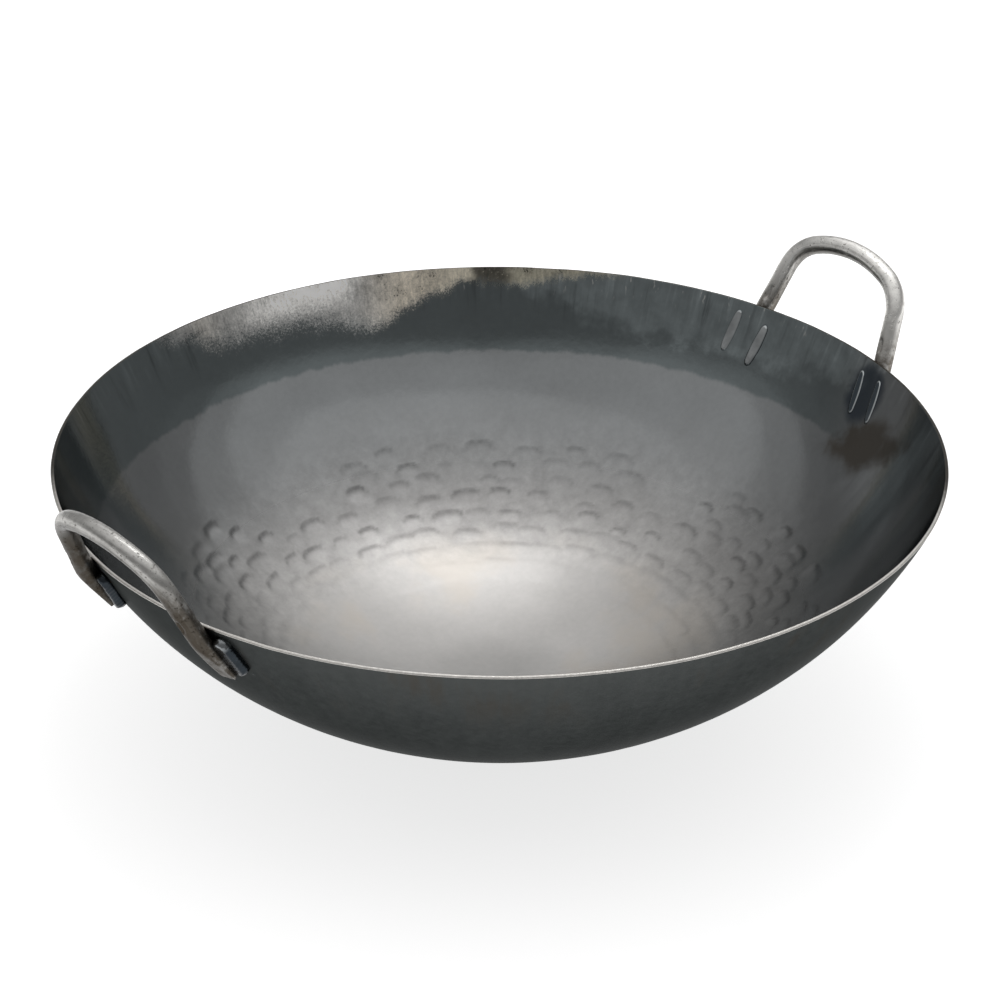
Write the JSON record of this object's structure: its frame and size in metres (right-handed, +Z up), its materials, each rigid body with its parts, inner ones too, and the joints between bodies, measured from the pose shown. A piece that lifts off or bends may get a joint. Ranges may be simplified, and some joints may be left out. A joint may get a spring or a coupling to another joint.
{
  "type": "wok",
  "caption": "Round hammered carbon steel wok, deep bowl with a bare cut rim and two opposed steel rod loop handles welded to the outer wall.",
  "frame": {"origin": "middle of the flattened land on the underside of the bowl, which it stands on", "axes": "+Z up through the middle of the bowl; the two handles lie on the X axis, handle_right at +X and handle_left at -X"},
  "size_m": [0.435, 0.3898, 0.1556],
  "materials": {
    "bowl_steel": "hammered carbon steel with a blue-grey mill scale, satin",
    "handle_steel": "bright satin rod",
    "weld_metal": "glossy blue-black bead"
  },
  "bodies": {
    "root": {"bowl": "bowl_steel", "handle_right": "handle_steel", "handle_left": "handle_steel", "weld_right_back_inner": "weld_metal", "weld_right_back_outer": "weld_metal", "weld_right_front_inner": "weld_metal", "weld_right_front_outer": "weld_metal", "weld_left_back_inner": "weld_metal", "weld_left_back_outer": "weld_metal", "weld_left_front_inner": "weld_metal", "weld_left_front_outer": "weld_metal"}
  },
  "joints": []
}
